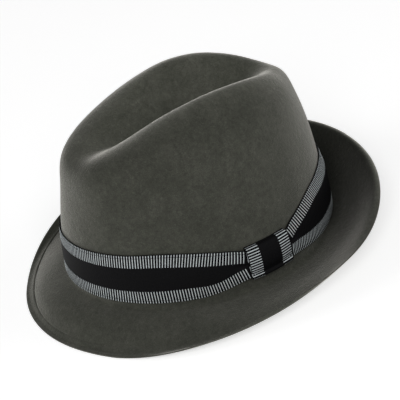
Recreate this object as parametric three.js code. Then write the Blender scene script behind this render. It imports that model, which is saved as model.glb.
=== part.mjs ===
// A trilby of pressed wool felt with a striped ribbon band and a flat bow wrap.
// Sizes are in millimetres. +Z is up, the front of the hat points to -Y,
// and the bow sits on the wearer's left side, towards +X.
// The hat stands by itself: on the front edge of its brim and on the fold behind the crown.
import * as THREE from 'three';

// Head opening, measured outside the felt where the crown meets the brim
const headLength = 201;
const headWidth = 169;
const feltThickness = 2.2;

// Crown
const crownHeight = 125.5;   // side ridges above the brim
const sideTaper = 49;        // how far each side ridge stands in from the head opening
const frontTaper = 31;
const backTaper = 28;
const dentDepth = 33.5;      // lowest point of the dent below the side ridges
const dentSetback = 5;       // lowest point of the dent behind the middle of the head

// Brim, measured level from the head opening to its edge, and up or down from it
const brimSide = 42;
const brimFront = 31.5;
const brimBack = 30.5;
const frontDrop = 22;
const sideLift = 7.5;
const sideSag = 2;           // gutter of the side brim between crown and edge
const backLift = 42;
const brimCorners = 0.02;    // share the brim is fuller behind and narrower in front than an oval
const footRadius = 6.5;      // sweep from the crown into the brim
const frontDip = 1;          // foot of the crown, below and above its height at the sides
const backRise = 5.5;

// Ribbon band, gathered under the bow wrap
const ribbonWidth = 35;
const ribbonThickness = 1;
const bandFoot = 5;          // lower edge of the band above the crown's foot
const gatheredWidth = 19.5;
const gatheredSink = 1.8;    // middle of the gathered band below the middle of the full band
const gatheredThickness = 1.8;
const gatherCurve = 1.7;     // above 1 the edges run into the wrap ever more steeply

// Length of ribbon that narrows to the wrap, at its top and its lower edge
const gatherReach = {
  ahead: { top: 70, foot: 38 },
  behind: { top: 42, foot: 50 },
};

// Bow wrap: a ribbon loop round the gathered band
const wrapWidth = 34.5;
const wrapThickness = 0.8;
const wrapBulge = 0.8;       // the wrap stands proud in its middle
const wrapAngle = 95;        // degrees round the head from the front
const clearance = 0.3;       // between pieces that lie on each other

// Felt pressed flat where the hat stands
const pressedDepth = 1.2;

// Mesh fineness
const columns = 66;
const bandColumns = 90;
const wrapColumns = 8;

// Brim sections from the edge inwards. side, front and back are shares of the three brim reaches,
// drop, lift, sag and turnUp are shares of frontDrop, sideLift, sideSag and backLift.
const brimSections = [
  { name: 'edge', side: 1.00, front: 1.00, back: 1.00, drop: 1.00, lift: 1.00, sag: 0, turnUp: 0.88 },
  { name: 'lip', side: 0.95, front: 0.86, back: 0.86, drop: 0.83, lift: 0.22, sag: 0, turnUp: 1.00 },
  { name: 'gutter', side: 0.53, front: 0.73, back: 0.54, drop: 0.37, lift: 0, sag: 1.00, turnUp: 0.42 },
];

// Crown sections from the brim upwards. side, front and back are shares of the three tapers,
// low, mid and high the heights in front, at the side and behind as shares of crownHeight.
// pinch narrows the front, and squareFront and squareBack fill out the oval's corners.
// rise is how far a section follows the foot of the crown up behind.
const crownSections = [
  { name: 'band top', side: 0.11, front: -0.03, back: 0.11, low: 0.304, mid: 0.304, high: 0.304,
    pinch: 0.00, squareFront: 0.01, squareBack: -0.03, rise: 1.0 },
  { name: 'waist', side: 0.29, front: 0.20, back: 0.29, low: 0.576, mid: 0.592, high: 0.592,
    pinch: 0.08, squareFront: 0.05, squareBack: -0.03, rise: 0.5 },
  { name: 'shoulder', side: 0.56, front: 0.25, back: 0.58, low: 0.759, mid: 0.936, high: 0.819,
    pinch: 0.26, squareFront: 0.14, squareBack: -0.02, rise: 0.0 },
  { name: 'ridge', side: 1.00, front: 1.00, back: 1.00, low: 0.780, mid: 1.048, high: 0.948,
    pinch: 0.51, squareFront: -0.03, squareBack: -0.02, rise: 0.0 },
];

// Dent sections from the ridge inwards: share of the way out from the lowest point, and up from it
const dentSections = [
  { out: 0.66, up: 0.62 },
  { out: 0.40, up: 0.22 },
  { out: 0.15, up: 0.03 },
  { out: 0.00, up: 0.00 },
];

// Steps of the mesh between one section and the next, from the brim edge to the dent's lowest point
const stepsBetween = [4, 2, 4, 3, 2, 2, 2, 3, 3, 3, 2, 1, 1];

const halfLength = headLength / 2;
const halfWidth = headWidth / 2;
const headSquareFront = crownSections[0].squareFront;
const headSquareBack = crownSections[0].squareBack;
const fullTurn = 2 * Math.PI;

// A closed section round the head. angle 0 is the front, a quarter turn the wearer's left.
function oval(angle, size) {
  const c = Math.cos(angle);
  const s = Math.sin(angle);
  const ahead = (1 + c) / 2;
  const corner = (2 * s * c) ** 2;
  const fill = 1 + (size.squareFront * ahead + size.squareBack * (1 - ahead)) * corner;
  const narrow = 1 - size.pinch * ahead ** 2;
  const tilt = (size.zFront - size.zBack) / 2;
  const bend = (size.zFront + size.zBack) / 2 - size.zSide;
  return new THREE.Vector3(
    size.side * s * fill * narrow,
    -(size.front + size.back) / 2 * c * fill + (size.back - size.front) / 2,
    size.zSide + tilt * c + bend * c * c,
  );
}

function brimSize(row) {
  return {
    side: halfWidth + row.side * brimSide,
    front: halfLength + row.front * brimFront,
    back: halfLength + row.back * brimBack,
    zFront: -row.drop * frontDrop,
    zSide: row.lift * sideLift - row.sag * sideSag,
    zBack: row.turnUp * backLift,
    pinch: 0,
    squareFront: -brimCorners,
    squareBack: brimCorners,
  };
}

function footSize(out, up) {
  return {
    side: halfWidth + out,
    front: halfLength + out,
    back: halfLength + out,
    zFront: up - frontDip,
    zSide: up,
    zBack: up + backRise,
    pinch: 0,
    squareFront: headSquareFront,
    squareBack: headSquareBack,
  };
}

function crownSize(row) {
  return {
    side: halfWidth - row.side * sideTaper,
    front: halfLength - row.front * frontTaper,
    back: halfLength - row.back * backTaper,
    zFront: row.low * crownHeight - row.rise * frontDip,
    zSide: row.mid * crownHeight,
    zBack: row.high * crownHeight + row.rise * backRise,
    pinch: row.pinch,
    squareFront: row.squareFront,
    squareBack: row.squareBack,
  };
}

// Control sections of the felt's outer surface, from the brim edge up to the ridge
const sections = [
  ...brimSections.map(brimSize),
  footSize(footRadius, 0),
  footSize(0, 0),
  footSize(0, footRadius),
  ...crownSections.map(crownSize),
];
const footRow = brimSections.length + 1;
const ridgeRow = sections.length - 1;
const lastRow = ridgeRow + dentSections.length;
const dentBottom = new THREE.Vector3(0, dentSetback, crownHeight - dentDepth);

function controlPoint(row, angle) {
  if (row < 0) {
    return controlPoint(0, angle).multiplyScalar(2).sub(controlPoint(1, angle));
  }
  if (row > lastRow) {
    return controlPoint(lastRow, angle).multiplyScalar(2).sub(controlPoint(lastRow - 1, angle));
  }
  if (row <= ridgeRow) {
    return oval(angle, sections[row]);
  }
  const dent = dentSections[row - ridgeRow - 1];
  const ridge = oval(angle, sections[ridgeRow]);
  return new THREE.Vector3(
    dentBottom.x + dent.out * (ridge.x - dentBottom.x),
    dentBottom.y + dent.out * (ridge.y - dentBottom.y),
    dentBottom.z + dent.up * (ridge.z - dentBottom.z),
  );
}

// Outer surface of the felt: a uniform cubic B-spline through the control sections
function felt(angle, station) {
  const row = Math.min(Math.max(Math.floor(station), 0), lastRow - 1);
  const f = station - row;
  const weights = [
    (1 - f) ** 3 / 6,
    (3 * f ** 3 - 6 * f ** 2 + 4) / 6,
    (-3 * f ** 3 + 3 * f ** 2 + 3 * f + 1) / 6,
    f ** 3 / 6,
  ];
  const point = new THREE.Vector3();
  weights.forEach((weight, k) => point.addScaledVector(controlPoint(row - 1 + k, angle), weight));
  return point;
}

function alongStation(angle, station) {
  const step = 1e-3;
  const low = Math.max(station - step, 0);
  const high = Math.min(station + step, lastRow);
  return felt(angle, high).sub(felt(angle, low)).normalize();
}

function outwards(angle, station) {
  const step = 1e-3;
  const around = felt(angle + step, station).sub(felt(angle - step, station));
  return around.cross(alongStation(angle, station)).normalize();
}

// Height of the crown's foot at each angle
function footLine(angle) {
  const c = Math.cos(angle);
  return (backRise - frontDip) / 2 * c * c - (backRise + frontDip) / 2 * c;
}

// Point at a height on the crown wall above its foot, pushed off the felt by offset
function onWall(angle, height, offset) {
  const level = footLine(angle) + height;
  let low = footRow;
  let high = ridgeRow - 1;
  for (let i = 0; i < 30; i += 1) {
    const middle = (low + high) / 2;
    if (felt(angle, middle).z < level) {
      low = middle;
    } else {
      high = middle;
    }
  }
  const across = outwards(angle, low);
  across.z = 0;
  return felt(angle, low).addScaledVector(across.normalize(), offset);
}

function ringOf(count, place) {
  return Array.from({ length: count }, (_, i) => place(fullTurn * i / count));
}

function feltRings() {
  const stations = [0];
  stepsBetween.forEach((steps, row) => {
    for (let k = 1; k <= steps; k += 1) {
      stations.push(row + k / steps);
    }
  });
  const outer = stations.map((station) => ringOf(columns, (angle) => felt(angle, station)));
  const inner = stations.map((station) => ringOf(columns, (angle) => (
    felt(angle, station).addScaledVector(outwards(angle, station), -feltThickness)
  )));
  const nose = ringOf(columns, (angle) => (
    felt(angle, 0)
      .addScaledVector(outwards(angle, 0), -feltThickness / 2)
      .addScaledVector(alongStation(angle, 0), -feltThickness / 2)
  ));
  const top = felt(0, lastRow);
  outer[outer.length - 1] = [top];
  inner[inner.length - 1] = [top.clone().setZ(top.z - feltThickness)];
  return [...outer.reverse(), nose, ...inner];
}

const wrapMiddle = THREE.MathUtils.degToRad(wrapAngle);
const wrapReach = wrapWidth / 2 / halfLength;
const gatheredMiddle = bandFoot + ribbonWidth / 2 - gatheredSink;
const wrapSeat = 2 * clearance + wrapThickness;

// 1 under the wrap, falling to 0 where the band has its full width
function gather(angle, edge) {
  const turn = Math.atan2(Math.sin(angle - wrapMiddle), Math.cos(angle - wrapMiddle));
  const reach = turn < 0 ? gatherReach.ahead[edge] : gatherReach.behind[edge];
  const part = (Math.abs(turn) * halfLength - wrapWidth / 2) / reach;
  return (1 - Math.min(Math.max(part, 0), 1)) ** gatherCurve;
}

function bandSize(angle) {
  const top = gather(angle, 'top');
  const foot = gather(angle, 'foot');
  const share = top * foot;
  const inside = THREE.MathUtils.lerp(clearance, wrapSeat, share);
  return {
    top: THREE.MathUtils.lerp(bandFoot + ribbonWidth, gatheredMiddle + gatheredWidth / 2, top),
    foot: THREE.MathUtils.lerp(bandFoot, gatheredMiddle - gatheredWidth / 2, foot),
    inside,
    outside: inside + THREE.MathUtils.lerp(ribbonThickness, gatheredThickness, share),
  };
}

// Band profile from its top edge down the outside and back up the inside.
// rise is a share of the width there, outer is 1 on the outside.
const bandProfile = [
  { rise: 1.00, outer: 1 },
  { rise: 0.75, outer: 1 },
  { rise: 0.50, outer: 1 },
  { rise: 0.25, outer: 1 },
  { rise: 0.00, outer: 1 },
  { rise: 0.00, outer: 0 },
  { rise: 0.25, outer: 0 },
  { rise: 0.50, outer: 0 },
  { rise: 0.75, outer: 0 },
  { rise: 1.00, outer: 0 },
];

// Angles of the columns across the wrap, from its front edge to its back edge
const wrapTurns = Array.from({ length: wrapColumns + 1 }, (_, i) => (
  wrapMiddle + wrapReach * (2 * i / wrapColumns - 1)
));

// The band has the same columns under the wrap, and its own round the rest of the head
const freeTurns = Array.from({ length: bandColumns }, (_, i) => (
  wrapMiddle + wrapReach + (fullTurn - 2 * wrapReach) * i / bandColumns
));

function bandRings() {
  const turns = [...wrapTurns.slice(0, -1), ...freeTurns];
  return bandProfile.map((corner) => turns.map((angle) => {
    const size = bandSize(angle);
    const offset = corner.outer ? size.outside : size.inside;
    return onWall(angle, THREE.MathUtils.lerp(size.foot, size.top, corner.rise), offset);
  }));
}

// Closed loop of the bow wrap round the gathered band, as height and offset from the felt.
// grow is the distance outside the loop's inner face.
function wrapLoop(grow) {
  const rise = gatheredWidth / 2 + clearance + grow;
  const inside = wrapSeat - clearance - grow;
  const outside = wrapSeat + gatheredThickness + clearance + grow;
  const cut = grow / 2;
  return [
    { rise, offset: inside + cut },
    { rise, offset: outside - cut },
    { rise: rise * 0.94, offset: outside },
    { rise: rise * 0.7, offset: outside + wrapBulge / 2 },
    { rise: rise * 0.3, offset: outside + wrapBulge },
    { rise: -rise * 0.3, offset: outside + wrapBulge },
    { rise: -rise * 0.7, offset: outside + wrapBulge / 2 },
    { rise: -rise * 0.94, offset: outside },
    { rise: -rise, offset: outside - cut },
    { rise: -rise, offset: inside + cut },
    { rise: -rise * 0.94, offset: inside },
    { rise: -rise * 0.3, offset: inside },
    { rise: rise * 0.3, offset: inside },
    { rise: rise * 0.94, offset: inside },
  ];
}

function wrapRings() {
  const ring = (grow) => (angle) => wrapLoop(grow).map((at) => (
    onWall(angle, gatheredMiddle + at.rise, at.offset)
  ));
  const back = [...wrapTurns].reverse();
  return [...back.map(ring(wrapThickness)), ...wrapTurns.map(ring(0))];
}

// Joins rings of points into a closed surface. A ring of one point is a pole.
function joinRings(rings, wrapped) {
  const points = rings.flat();
  const starts = [];
  let count = 0;
  rings.forEach((ring) => {
    starts.push(count);
    count += ring.length;
  });
  const faces = [];
  const pairs = wrapped ? rings.length : rings.length - 1;
  for (let k = 0; k < pairs; k += 1) {
    const next = (k + 1) % rings.length;
    const size = Math.max(rings[k].length, rings[next].length);
    for (let i = 0; i < size; i += 1) {
      const j = (i + 1) % size;
      const a = starts[k] + (i % rings[k].length);
      const b = starts[k] + (j % rings[k].length);
      const c = starts[next] + (j % rings[next].length);
      const d = starts[next] + (i % rings[next].length);
      if (a !== b) {
        faces.push(a, d, b);
      }
      if (c !== d) {
        faces.push(b, d, c);
      }
    }
  }
  return { points, faces };
}

// Tilts the hat so that the front edge and the back fold stand equally low
function lowest(points, pitch, side) {
  return points.reduce((low, p) => (
    p.y * side > 0 ? Math.min(low, p.z * Math.cos(pitch) - p.y * Math.sin(pitch)) : low
  ), Infinity);
}

function standingPitch(points) {
  let low = THREE.MathUtils.degToRad(-10);
  let high = THREE.MathUtils.degToRad(25);
  for (let i = 0; i < 40; i += 1) {
    const middle = (low + high) / 2;
    if (lowest(points, middle, -1) < lowest(points, middle, 1)) {
      low = middle;
    } else {
      high = middle;
    }
  }
  return low;
}

const feltShape = joinRings(feltRings(), false);
const pitch = standingPitch(feltShape.points);
const standing = new THREE.Matrix4().makeRotationX(-pitch);
feltShape.points.forEach((p) => p.applyMatrix4(standing));
const feltBox = new THREE.Box3().setFromPoints(feltShape.points);
const middle = feltBox.getCenter(new THREE.Vector3());
const seat = new THREE.Vector3(-middle.x, -middle.y, -feltBox.min.z - pressedDepth);

// Felt below the floor is pressed up to it, and the felt above it keeps its thickness
const half = (feltShape.points.length - columns) / 2;
feltShape.points.forEach((p, i) => {
  p.add(seat);
  const onTop = i < half;
  const onNose = i >= half && i < half + columns;
  const floor = onTop ? feltThickness : (onNose ? feltThickness / 2 : 0);
  p.z = Math.max(p.z, floor);
});

const feltCloth = new THREE.MeshStandardMaterial({ color: 0x4a4a40, roughness: 0.95, metalness: 0 });
const bandCloth = new THREE.MeshStandardMaterial({ color: 0x16171a, roughness: 0.7, metalness: 0 });
const wrapCloth = new THREE.MeshStandardMaterial({ color: 0x1c1d20, roughness: 0.7, metalness: 0 });

function piece(name, shape, material) {
  const geometry = new THREE.BufferGeometry();
  geometry.setFromPoints(shape.points);
  geometry.setIndex(shape.faces);
  geometry.computeVertexNormals();
  const mesh = new THREE.Mesh(geometry, material);
  mesh.name = name;
  return mesh;
}

// The ribbons are built in the hat's own frame and stand with it
const trim = new THREE.Group();
trim.rotation.x = -pitch;
trim.position.copy(seat);
trim.add(piece('ribbon_band', joinRings(bandRings(), true), bandCloth));
trim.add(piece('bow_wrap', joinRings(wrapRings(), true), wrapCloth));

const group = new THREE.Group();
group.name = 'trilby';
group.add(piece('felt_hat', feltShape, feltCloth));
group.add(trim);

export default group;
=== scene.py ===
"""A trilby of pressed wool felt with a striped ribbon band and a flat bow wrap.

Lengths are in metres. +Z is up, the front of the hat points to -Y and the bow sits towards +X.
The shapes are worked out in the hat's own frame, level with the head opening, and then stood on
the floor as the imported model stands.
"""
import math

import bpy
import numpy as np
from mathutils import Matrix, Vector

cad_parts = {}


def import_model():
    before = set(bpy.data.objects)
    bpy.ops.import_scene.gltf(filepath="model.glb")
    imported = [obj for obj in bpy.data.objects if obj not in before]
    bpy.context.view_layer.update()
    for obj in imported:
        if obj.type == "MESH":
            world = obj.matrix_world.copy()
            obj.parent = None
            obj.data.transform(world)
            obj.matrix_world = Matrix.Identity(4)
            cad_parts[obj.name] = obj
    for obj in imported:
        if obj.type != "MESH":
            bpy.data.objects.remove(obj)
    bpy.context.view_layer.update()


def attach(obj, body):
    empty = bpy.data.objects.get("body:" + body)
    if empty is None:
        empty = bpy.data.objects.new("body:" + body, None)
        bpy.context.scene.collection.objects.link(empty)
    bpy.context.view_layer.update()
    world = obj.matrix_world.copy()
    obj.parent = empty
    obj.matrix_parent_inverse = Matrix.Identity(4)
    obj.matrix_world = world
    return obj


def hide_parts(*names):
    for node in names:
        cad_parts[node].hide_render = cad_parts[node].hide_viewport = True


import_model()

MM = 0.001

# Head opening, measured outside the felt where the crown meets the brim
HEAD_LENGTH = 201 * MM
HEAD_WIDTH = 169 * MM
FELT_THICKNESS = 2.2 * MM

# Crown
CROWN_HEIGHT = 125.5 * MM
SIDE_TAPER = 49 * MM
FRONT_TAPER = 31 * MM
BACK_TAPER = 28 * MM
DENT_DEPTH = 33.5 * MM
DENT_SETBACK = 5 * MM

# Brim
BRIM_SIDE = 42 * MM
BRIM_FRONT = 31.5 * MM
BRIM_BACK = 30.5 * MM
FRONT_DROP = 22 * MM
SIDE_LIFT = 7.5 * MM
SIDE_SAG = 2 * MM
BACK_LIFT = 42 * MM
BRIM_CORNERS = 0.02          # fuller behind and narrower in front than an oval
FOOT_RADIUS = 6.5 * MM
FRONT_DIP = 1 * MM
BACK_RISE = 5.5 * MM

# Lip pressed into the edge of the brim, with a crease inside it
LIP_WIDTH = 6.6 * MM
LIP_RISE = 0.45 * MM
CREASE_DEPTH = 1.0 * MM
CREASE_WIDTH = 0.55 * MM
FAINT_CREASE = 0.35          # share of its depth where it fades out in front

# Edge of the brim, as the felt has been worked by hand
ROLL_WIDTH = 9.5 * MM
TURN_DOWN_WIDTH = 5.5 * MM
EDGE_THINNING = 1.3 * MM
DISH_FILL = 1.5 * MM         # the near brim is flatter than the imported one
DISH_PLACE = 20 * MM
DISH_WIDTH = 13 * MM
UNDER_FILL = 1.3 * MM        # its under side is hollowed less still
UNDER_PLACE = 9 * MM
WAVE_HEIGHT = 0.16 * MM

# How the edge turns down and rolls outwards, in mm, and how much of the thinning and of the dish's
# fill it has, at angles in degrees from the front
EDGE_LINE = [
    dict(angle=-180, down=0.0, out=1.3, thin=0.0, fill=0.0),
    dict(angle=-160, down=0.0, out=2.2, thin=0.0, fill=0.0),
    dict(angle=-145, down=0.0, out=1.2, thin=0.0, fill=0.0),
    dict(angle=-120, down=0.0, out=0.0, thin=0.0, fill=0.0),
    dict(angle=-40, down=0.0, out=0.0, thin=0.0, fill=0.0),
    dict(angle=-22, down=0.5, out=1.1, thin=0.0, fill=0.0),
    dict(angle=-8, down=1.1, out=1.3, thin=0.2, fill=0.0),
    dict(angle=15, down=1.5, out=1.1, thin=0.7, fill=0.0),
    dict(angle=45, down=1.3, out=0.8, thin=1.0, fill=0.0),
    dict(angle=60, down=0.5, out=-0.6, thin=1.0, fill=0.6),
    dict(angle=72, down=0.0, out=-2.5, thin=1.0, fill=1.0),
    dict(angle=92, down=0.0, out=-2.5, thin=1.0, fill=1.0),
    dict(angle=102, down=0.5, out=0.6, thin=1.0, fill=0.8),
    dict(angle=112, down=1.2, out=1.6, thin=0.9, fill=0.4),
    dict(angle=122, down=1.8, out=1.3, thin=0.7, fill=0.0),
    dict(angle=135, down=0.5, out=0.9, thin=0.3, fill=0.0),
    dict(angle=150, down=0.0, out=-0.4, thin=0.0, fill=0.0),
    dict(angle=168, down=0.0, out=0.5, thin=0.0, fill=0.0),
    dict(angle=180, down=0.0, out=1.3, thin=0.0, fill=0.0),
]

# The back end of the near ridge stands out a little, around this angle and station
SHOULDER_OUT = 1.7 * MM
SHOULDER_ANGLE = 173
SHOULDER_SPREAD = 13
SHOULDER_STATION = 8.35
SHOULDER_REACH = 0.55

# Ribbon band
RIBBON_WIDTH = 35 * MM
RIBBON_THICKNESS = 1 * MM
BAND_FOOT = 5 * MM
GATHERED_WIDTH = 19.5 * MM
GATHERED_SINK = 1.8 * MM
GATHERED_THICKNESS = 1.8 * MM
GATHER_CURVE = 1.7
GATHER_REACH = dict(ahead=dict(top=70 * MM, foot=38 * MM), behind=dict(top=42 * MM, foot=50 * MM))
BORDER_WIDTH = 9.1 * MM
GATHERED_BORDER = 8.2 * MM
SELVEDGE = 0.2 * MM
THREAD_LINE = 2 * MM         # dark thread in from each edge of the band
THREAD_WIDTH = 0.3 * MM
BAND_HEM = 0.45 * MM         # how far the ribbon's edges are rounded in, outside and inside
INNER_HEM = 0.3 * MM
STRIPE_COUNT = 295
WHITE_SHARE = 0.30
RIB_HEIGHT = 0.07 * MM
BLACK_RIB = 0.7              # height of a black rib as a share of a white one's
FOLD_DEPTH = 1.4 * MM
FOLD_CURVE = 1.5
PLEAT_SWELL = 0.4 * MM
LOWER_TUCK = 0.2             # the lower border is part hidden under the fold ahead of the wrap
TUCK_PLACE = -41 * MM
TUCK_SPREAD = 15 * MM
LEAN_AHEAD = -0.13           # sideways lean of the stripes, as a slope
LEAN_BEHIND = 0.34
LOWER_BOW = 1.1 * MM         # the lower border's stripes bend behind the wrap
FLARE = 2.2 * MM             # the band stands off the felt behind the wrap
FLARE_ANGLE = 145
FLARE_SPREAD = 22

# Where the stripes start and stop to lean, from the wrap's middle, as start and width of a ramp
AHEAD_FROM = (-230 * MM, 40 * MM)
AHEAD_TO = (-48 * MM, 30 * MM)
LOWER_AHEAD_TO = (-120 * MM, 30 * MM)
BEHIND_FROM = (12 * MM, 34 * MM)
BOW_FROM = (12 * MM, 8 * MM)
BEHIND_TO = (105 * MM, 30 * MM)

# How the worn band has moved up or down, in mm, at angles in degrees from the front
BAND_LINE = [
    dict(angle=-180, top=1.8, foot=0.8),
    dict(angle=-30, top=-2.0, foot=-1.0),
    dict(angle=0, top=-0.8, foot=-0.6),
    dict(angle=25, top=1.2, foot=0.6),
    dict(angle=60, top=2.1, foot=0.5),
    dict(angle=80, top=1.2, foot=0.5),
    dict(angle=110, top=0.0, foot=0.0),
    dict(angle=122, top=1.5, foot=0.3),
    dict(angle=140, top=4.2, foot=0.8),
    dict(angle=160, top=5.4, foot=0.8),
    dict(angle=180, top=3.0, foot=0.8),
]

# Bow wrap
WRAP_WIDTH = 34.5 * MM
WRAP_THICKNESS = 0.8 * MM
WRAP_BULGE = 0.8 * MM
WRAP_ANGLE = 95
WRAP_BORDER = 9.2 * MM
WRAP_STRIPE = 1.9 * MM
WRAP_WHITE = 0.34
WRAP_HEM = 0.3 * MM
WRAP_LINING = 0.9            # share of the wrap's thickness at which its inside is drawn
WRAP_BOW = 0.35 * MM         # its middle stands out between its two edges
SEAT_REACH = 9 * MM          # the band leaves the felt over this length to run under the wrap
CLEARANCE = 0.3 * MM

# Outline of the wrap round the band: height as a share of its half height, then how far off the
# felt's side or the outer side it lies, in mm, and its share of the bulge
WRAP_PROFILE = [
    dict(up=1.00, side="near", off=0.9, bulge=0.0),
    dict(up=0.99, side="far", off=-1.4, bulge=0.0),
    dict(up=0.93, side="far", off=-0.3, bulge=0.0),
    dict(up=0.75, side="far", off=0.0, bulge=0.5),
    dict(up=0.35, side="far", off=0.0, bulge=1.0),
    dict(up=-0.10, side="far", off=0.0, bulge=0.8),
    dict(up=-0.45, side="far", off=0.0, bulge=0.2),
    dict(up=-0.72, side="far", off=-0.9, bulge=0.0),
    dict(up=-0.84, side="far", off=-1.0, bulge=0.0),
    dict(up=-0.95, side="far", off=0.1, bulge=0.0),
    dict(up=-1.02, side="far", off=-0.4, bulge=0.0),
    dict(up=-1.00, side="near", off=0.9, bulge=0.0),
    dict(up=-0.90, side="near", off=0.0, bulge=0.0),
    dict(up=0.90, side="near", off=0.0, bulge=0.0),
]

# Felt pressed flat where the hat stands
PRESSED_DEPTH = 1.2 * MM

# Camera, in the hat's own frame
AZIMUTH = math.radians(63.2)
ELEVATION = math.radians(27.96)
ROLL = math.radians(-8.16)
CAMERA_DISTANCE = 1349.2 * MM
AIM_HEIGHT = 50 * MM
AIM_RIGHT = 5.3 * MM
AIM_UP = -15.3 * MM
LENS = 170.6
SENSOR = 36.0

# Studio, with the lights' angles in degrees and their power in watts
SKY_STRENGTH = 0.12
FLOOR_GLOW = 0.55
FLOOR_HALF = 5.0
LIGHT_DISTANCE = 3.0
LIGHT_SIZE = (2.0, 1.6)
SOFTBOXES = [
    dict(name="front_light", azimuth=-28, elevation=18, power=32),
    dict(name="back_light", azimuth=152, elevation=20, power=23),
    dict(name="fill_light", azimuth=63, elevation=42, power=38),
]

# Colours and tones. The felt's colours are twice as bright as it looks, because the painted tone
# halves them where nothing is painted. Places of painted shade and painted light on the felt are ramps,
# as start and width, over the angle in degrees from the front or over the station.
FELT_DARK = (0.092, 0.0955, 0.0760)
FELT_MID = (0.104, 0.1075, 0.0860)
FELT_LIGHT = (0.118, 0.1205, 0.0980)
RIBBON_BLACK = (0.0045, 0.0045, 0.0050)
RIBBON_WHITE = (0.54, 0.585, 0.595)
UNPAINTED_TONE = 0.5
# sheen weight per unit of painted tone, so painted shade and painted light also lower and raise the
# sheen
NAP_SHEEN = 1.5
GUTTER_PAINTED_SHADE = -0.29         # painted shade, deep behind the crown
BACK_FROM = (112, 46)
BACK_TO = (202, 46)
GUTTER_FROM = (0.45, 0.6)
GUTTER_TO = (4.0, 1.6)
RIM_PAINTED_LIGHT = 0.34            # painted light along the edge there, pale where the brim rises into the light
RIM_LIGHT_FROM = (118, 26)
RIM_LIGHT_TO = (0.35, 0.55)
TOP_PAINTED_LIGHT = 0.28             # painted light, pale on top
TOP_FROM = (8, 1)
FLANK_PAINTED_SHADE = -0.08          # painted shade, deep between the wrap and the back
FLANK_ANGLE = 118
FLANK_SPREAD = 24
FLANK_FROM = (0.5, 0.5)
FLANK_TO = (2.6, 1.2)

# Layers of the felt's surface, from large to small: size in mm, shape of the noise, depth of the
# relief in mm and its strength, and tones as place and share of the colour
FELT_LAYERS = [
    dict(size=9.0, detail=3, rough=0.6, twist=1.2, depth=0, strength=0,
         tones=[(0.34, 0.92), (0.66, 1.07)]),
    dict(size=3.2, detail=4, rough=0.6, twist=0.0, depth=0.45, strength=0.6,
         tones=[(0.30, 0.84), (0.70, 1.14)]),
    dict(size=1.5, detail=2, rough=0.7, twist=1.6, depth=0.30, strength=0.6,
         tones=[(0.36, 0.80), (0.48, 1.0), (0.56, 1.0), (0.68, 1.30)]),
    dict(size=0.55, detail=3, rough=0.6, twist=0.6, depth=0.20, strength=0.7,
         tones=[(0.25, 0.75), (0.75, 1.25)]),
]
CLOUD_SIZE = 26 * MM
FELT_CLOUDS = [(0.36, FELT_DARK), (0.5, FELT_MID), (0.64, FELT_LIGHT)]
WEFT_SIZE = 3.2 * MM
THREAD_SIZE = 0.8 * MM
WEAVE_DEPTH = 0.05 * MM
FELT_SHADER = {
    "Roughness": 0.95,
    "Specular IOR Level": 0.15,
    "Sheen Roughness": 0.40,
    "Sheen Tint": (0.86, 0.84, 0.78, 1),
}
RIBBON_SHADER = {"Roughness": 0.6, "Specular IOR Level": 0.06}
FLOOR_SHADER = {
    "Roughness": 0.9,
    "Specular IOR Level": 0.1,
    "Emission Color": (1, 1, 1, 1),
    "Emission Strength": FLOOR_GLOW,
}

# Sections of the felt from the brim's edge to the dent's lowest point, as shares of the sizes above.
# A station is a place along them: 0 at the brim's edge, one more at each section.
BRIM_SECTIONS = [
    dict(name="edge", side=1.00, front=1.00, back=1.00, drop=1.00, lift=1.00, sag=0.00, turn_up=0.88),
    dict(name="lip", side=0.95, front=0.86, back=0.86, drop=0.83, lift=0.22, sag=0.00, turn_up=1.00),
    dict(name="gutter", side=0.53, front=0.73, back=0.54, drop=0.37, lift=0.00, sag=1.00, turn_up=0.42),
]

CROWN_SECTIONS = [
    dict(name="band top", side=0.11, front=-0.03, back=0.11, low=0.304, mid=0.304, high=0.304,
         pinch=0.00, square_front=0.01, square_back=-0.03, rise=1.0),
    dict(name="waist", side=0.29, front=0.20, back=0.29, low=0.576, mid=0.592, high=0.592,
         pinch=0.08, square_front=0.05, square_back=-0.03, rise=0.5),
    dict(name="shoulder", side=0.56, front=0.25, back=0.58, low=0.759, mid=0.936, high=0.819,
         pinch=0.26, square_front=0.14, square_back=-0.02, rise=0.0),
    dict(name="ridge", side=1.00, front=1.00, back=1.00, low=0.780, mid=1.048, high=0.948,
         pinch=0.51, square_front=-0.03, square_back=-0.02, rise=0.0),
]

DENT_SECTIONS = [
    dict(out=0.66, up=0.62),
    dict(out=0.40, up=0.22),
    dict(out=0.15, up=0.03),
    dict(out=0.00, up=0.00),
]

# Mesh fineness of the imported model, which settles how the hat stands
CAD_COLUMNS = 66
CAD_STEPS = [4, 2, 4, 3, 2, 2, 2, 3, 3, 3, 2, 1, 1]

HALF_LENGTH = HEAD_LENGTH / 2
HALF_WIDTH = HEAD_WIDTH / 2
FULL_TURN = 2 * math.pi
SURFACE_STEP = 1e-3          # of an angle or a station, to take the felt's slope
WALL_SEARCH_STEPS = 22
PITCH_SEARCH_STEPS = 40
PITCH_RANGE = (math.radians(-10), math.radians(25))
WRAP_MIDDLE = math.radians(WRAP_ANGLE)
BAND_MIDDLE = BAND_FOOT + RIBBON_WIDTH / 2
GATHERED_MIDDLE = BAND_MIDDLE - GATHERED_SINK
WRAP_SEAT = 2 * CLEARANCE + WRAP_THICKNESS


# The felt's surface

def brim_size(row):
    """Sizes of a section of the brim: how far out it lies, how high, and the shape of its oval."""
    return dict(
        side=HALF_WIDTH + row["side"] * BRIM_SIDE,
        front=HALF_LENGTH + row["front"] * BRIM_FRONT,
        back=HALF_LENGTH + row["back"] * BRIM_BACK,
        z_front=-row["drop"] * FRONT_DROP,
        z_side=row["lift"] * SIDE_LIFT - row["sag"] * SIDE_SAG,
        z_back=row["turn_up"] * BACK_LIFT,
        pinch=0, square_front=-BRIM_CORNERS, square_back=BRIM_CORNERS,
    )


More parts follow.
